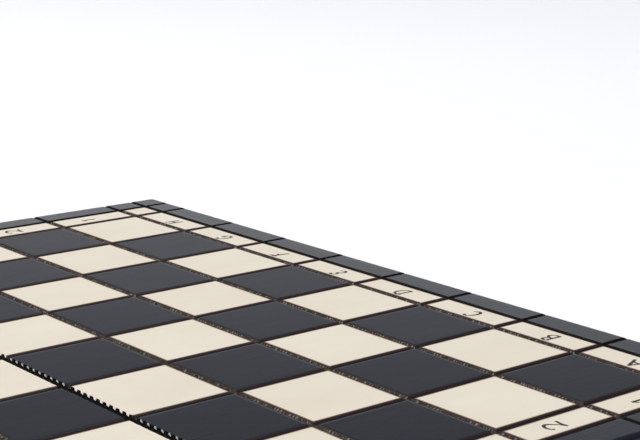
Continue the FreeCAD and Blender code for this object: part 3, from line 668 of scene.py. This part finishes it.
def pen_stroke(points, place, right, up, turn, layer):
    """Ribbon: a flat section carried along a stroke, as wide as a broad nib at its angle leaves it."""
    line = SIGN_HEIGHT * (smooth_line(points) - SIGN_MIDDLE)
    course = np.gradient(line, axis=0)
    course /= np.linalg.norm(course, axis=1)[:, None]
    slant = np.abs(np.sin(np.arctan2(course[:, 1], course[:, 0]) - NIB_ANGLE))
    reach = (NIB_THIN + (NIB_BROAD - NIB_THIN) * slant)[:, None] / 2 * course[:, ::-1] * [-1, 1]
    flat = np.stack([line + reach, line - reach, line - reach, line + reach], axis=1)
    flat = turn * (place + flat[..., :1] * right + flat[..., 1:] * up)
    upper = TOP - layer * INK_LAYER
    heights = np.array([upper, upper, WOOD_TOP - INK_ROOT, WOOD_TOP - INK_ROOT])
    heights = np.broadcast_to(heights[:, None], (len(flat), RIBBON_CORNERS, 1))
    corners = np.concatenate([flat, heights], axis=2).reshape(-1, 3)
    ring = np.arange(RIBBON_CORNERS)
    turned = np.roll(ring, -1)
    this = RIBBON_CORNERS * np.arange(len(flat) - 1)[:, None]
    following = this + RIBBON_CORNERS
    sides = np.stack([this + ring, this + turned, following + turned, following + ring], axis=2)
    caps = np.stack([ring[::-1], ring + len(corners) - RIBBON_CORNERS])
    return corners, np.concatenate([sides.reshape(-1, RIBBON_CORNERS), caps])


def signs_of(half):
    """Signs of one half, in the white half's place: sign, middle, and directions to right and top."""
    ranks, files = ("1234", "ABCDEFGH") if half == "white" else ("8765", "HGFEDCBA")
    # Numerals face White on both halves, and letters face the player of their own half
    facing = HALVES[half]
    side, edge = FIELD_HALF + BAND / 2, FIELD_FAR + BAND / 2
    right, up = np.array([[-1.0, 0.0], [0.0, -1.0]])
    for number, sign in enumerate(ranks):
        row = FIELD_FAR - SQUARE * (number + 0.5)
        for column in (side, -side):
            middle = np.array([column, row]) + facing * RANK_RISE * up
            yield sign, middle, facing * right, facing * up
    for number, sign in enumerate(files):
        column = FIELD_HALF - SQUARE * (number + 0.5)
        yield sign, np.array([column, edge]) + FILE_RISE * up - FILE_INDENT * right, right, up


def coordinates(half, turn):
    """Ink of one half's ranks and files in one piece."""
    points, faces, count = [], [], 0
    for sign, place, right, up in signs_of(half):
        for layer, stroke in enumerate(STROKES[sign]):
            stroke_points, stroke_faces = pen_stroke(stroke, place, right, up, turn, layer)
            points.append(stroke_points)
            faces.append(stroke_faces + count)
            count += len(stroke_points)
    faces = np.concatenate(faces)
    make_piece(f"{half}_coordinates", np.concatenate(points), faces.tolist(), [SCRIPT_INK],
               np.zeros(len(faces)), f"{half}_half")


for half, turn in HALVES.items():
    coordinates(half, turn)

# Felt under the panels
FELT_STEP = 4 * MM
FELT_EDGE = np.array([0, 0.15, 0.5, 1.0]) * MM
FELT_WAVE = 0.06 * MM
FELT_WAVE_LENGTHS = (47 * MM, 31 * MM)


def felt_places(low, high):
    """Places from edge to edge of the felt, close together where it rolls in."""
    inner = np.arange(low + FELT_STEP, high - FELT_STEP / 2, FELT_STEP)
    return np.concatenate([low + FELT_EDGE, inner, high - FELT_EDGE[::-1]])


def felt_lining(half):
    """Felt glued under a panel: flat above, and a face below that rolls in at the edges and waves."""
    low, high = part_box(f"{half}_lining")
    x = felt_places(low.x, high.x)
    y = felt_places(low.y, high.y)
    inset_x = np.minimum(x - low.x, high.x - x)
    inset_y = np.minimum(y - low.y, high.y - y)
    inset = np.minimum(inset_x, inset_y[:, None])
    roll = np.sqrt(1 - np.clip(1 - inset / FELT_EDGE[-1], 0, 1) ** 2)
    wave_x = np.sin(2 * np.pi * x / FELT_WAVE_LENGTHS[0])
    wave_y = np.sin(2 * np.pi * y / FELT_WAVE_LENGTHS[1])
    wave = wave_x * wave_y[:, None]
    depth = roll * (high.z - low.z - FELT_WAVE * (1 + wave))
    rows, columns = depth.shape
    points = np.stack(np.broadcast_arrays(x, y[:, None], high.z - depth), axis=2).reshape(-1, 3)
    number = np.arange(rows * columns).reshape(rows, columns)
    rim = np.concatenate([number[0, :-1], number[:-1, -1], number[-1, :0:-1], number[:0:-1, 0]])
    faces = grid_quads(rows, columns)[:, ::-1].tolist() + [rim.tolist()]
    piece = make_piece(f"{half}_felt", points, faces, [WOOL_FELT], np.zeros(len(faces)),
                       f"{half}_half")
    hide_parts(f"{half}_lining")


for half in HALVES:
    felt_lining(half)

# Finish of the pieces that keep their own shape
FINISHES = {"left_rail": RAIL_ALONG_FILES, "right_rail": RAIL_ALONG_FILES,
            "outer_rail": RAIL_ALONG_RANKS, "seam_rail": RAIL_ALONG_RANKS,
            "leaf": STAMPED_BRASS, "hook": POLISHED_BRASS, "washers": POLISHED_BRASS,
            "pin": TURNED_BRASS, "screws": TURNED_BRASS}
EDGE_WIDTHS = {"rail": 0.3 * MM, "leaf": 0.12 * MM, "hook": 0.2 * MM, "washers": 0.1 * MM,
               "pin": 0.1 * MM, "screws": 0.06 * MM}
WELD_REACH = 0.001 * MM
FLAT_ANGLE = math.radians(0.2)
BEVEL_ANGLE = math.radians(35)
BEVEL_SEGMENTS = 2


def soften(piece, width):
    """Round the sharp edges of a piece: join triangles, clear flat faces, and bevel what still turns."""
    weld = piece.modifiers.new("weld", "WELD")
    weld.merge_threshold = WELD_REACH
    flat = piece.modifiers.new("flat", "DECIMATE")
    flat.decimate_type = "DISSOLVE"
    flat.angle_limit = FLAT_ANGLE
    bevel = piece.modifiers.new("bevel", "BEVEL")
    bevel.width = width
    bevel.segments = BEVEL_SEGMENTS
    bevel.limit_method = "ANGLE"
    bevel.angle_limit = BEVEL_ANGLE
    bevel.harden_normals = True


for name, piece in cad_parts.items():
    for ending, finish in FINISHES.items():
        if name.endswith(ending):
            piece.data.materials.clear()
            piece.data.materials.append(finish)
            soften(piece, EDGE_WIDTHS[ending.split("_")[-1]])

# Floor and soft studio light
FLOOR_HALF = 4.0
floor_mesh = bpy.data.meshes.new("floor")
floor_corners = [(-FLOOR_HALF, -FLOOR_HALF, 0), (FLOOR_HALF, -FLOOR_HALF, 0),
                 (FLOOR_HALF, FLOOR_HALF, 0), (-FLOOR_HALF, FLOOR_HALF, 0)]
floor_mesh.from_pydata(floor_corners, [], [(0, 1, 2, 3)])
floor_mesh.materials.append(painted_floor())
floor = bpy.data.objects.new("floor", floor_mesh)
bpy.context.scene.collection.objects.link(floor)


def studio_lamp(name, kind, place, settings):
    """Lamp of a kind that looks at the middle of the board."""
    light = bpy.data.lights.new(name, kind)
    for setting, value in settings.items():
        setattr(light, setting, value)
    lamp = bpy.data.objects.new(name, light)
    lamp.location = place
    lamp.rotation_euler = (-Vector(place)).to_track_quat("-Z", "Y").to_euler()
    bpy.context.scene.collection.objects.link(lamp)


studio_lamp("ceiling", "SUN", (-0.3, -0.1, 1.5), {"energy": 2.4, "angle": math.radians(60)})
studio_lamp("left_softbox", "AREA", (-0.94, -0.5, 1.33), {"energy": 10, "size": 0.8})


def studio_walls():
    """Surroundings that go from pale at the horizon to dim overhead."""
    world = bpy.data.worlds.new("studio")
    world.use_nodes = True
    tree = world.node_tree
    tree.nodes.clear()
    place = add_node(tree, "ShaderNodeTexCoord")
    axes = add_node(tree, "ShaderNodeSeparateXYZ", (), {"Vector": (place, "Generated")})
    height = add_node(tree, "ShaderNodeMapRange",
                      {"interpolation_type": "SMOOTHSTEP", "From Min": 0.05, "From Max": 0.36},
                      {"Value": (axes, "Z")})
    colour = add_node(tree, "ShaderNodeMix",
                      {"data_type": "RGBA", MIX_FIRST: linear("#FAFBFC"), MIX_SECOND: linear("#3C4458")},
                      {MIX_FACTOR: (height, 0)})
    shine = add_node(tree, "ShaderNodeBackground", (), {"Color": (colour, MIX_COLOUR)})
    add_node(tree, "ShaderNodeOutputWorld", (), {"Surface": (shine, 0)})
    bpy.context.scene.world = world


studio_walls()
bpy.context.scene.view_settings.view_transform = "Standard"

# Camera as in the photograph
IMAGE_WIDTH = 640
FOCAL_PIXELS = 1681.2
EYE_SQUARES = (12.55, -6.836, 4.433)
TILT, LEAN, HEADING = 77.188, -0.32, 50.449
camera_data = bpy.data.cameras.new("camera")
camera_data.lens = FOCAL_PIXELS * camera_data.sensor_width / IMAGE_WIDTH
camera = bpy.data.objects.new("camera", camera_data)
camera.location = [SQUARE * EYE_SQUARES[0], SQUARE * EYE_SQUARES[1], TOP + SQUARE * EYE_SQUARES[2]]
camera.rotation_euler = [math.radians(angle) for angle in (TILT, LEAN, HEADING)]
bpy.context.scene.collection.objects.link(camera)
bpy.context.scene.camera = camera
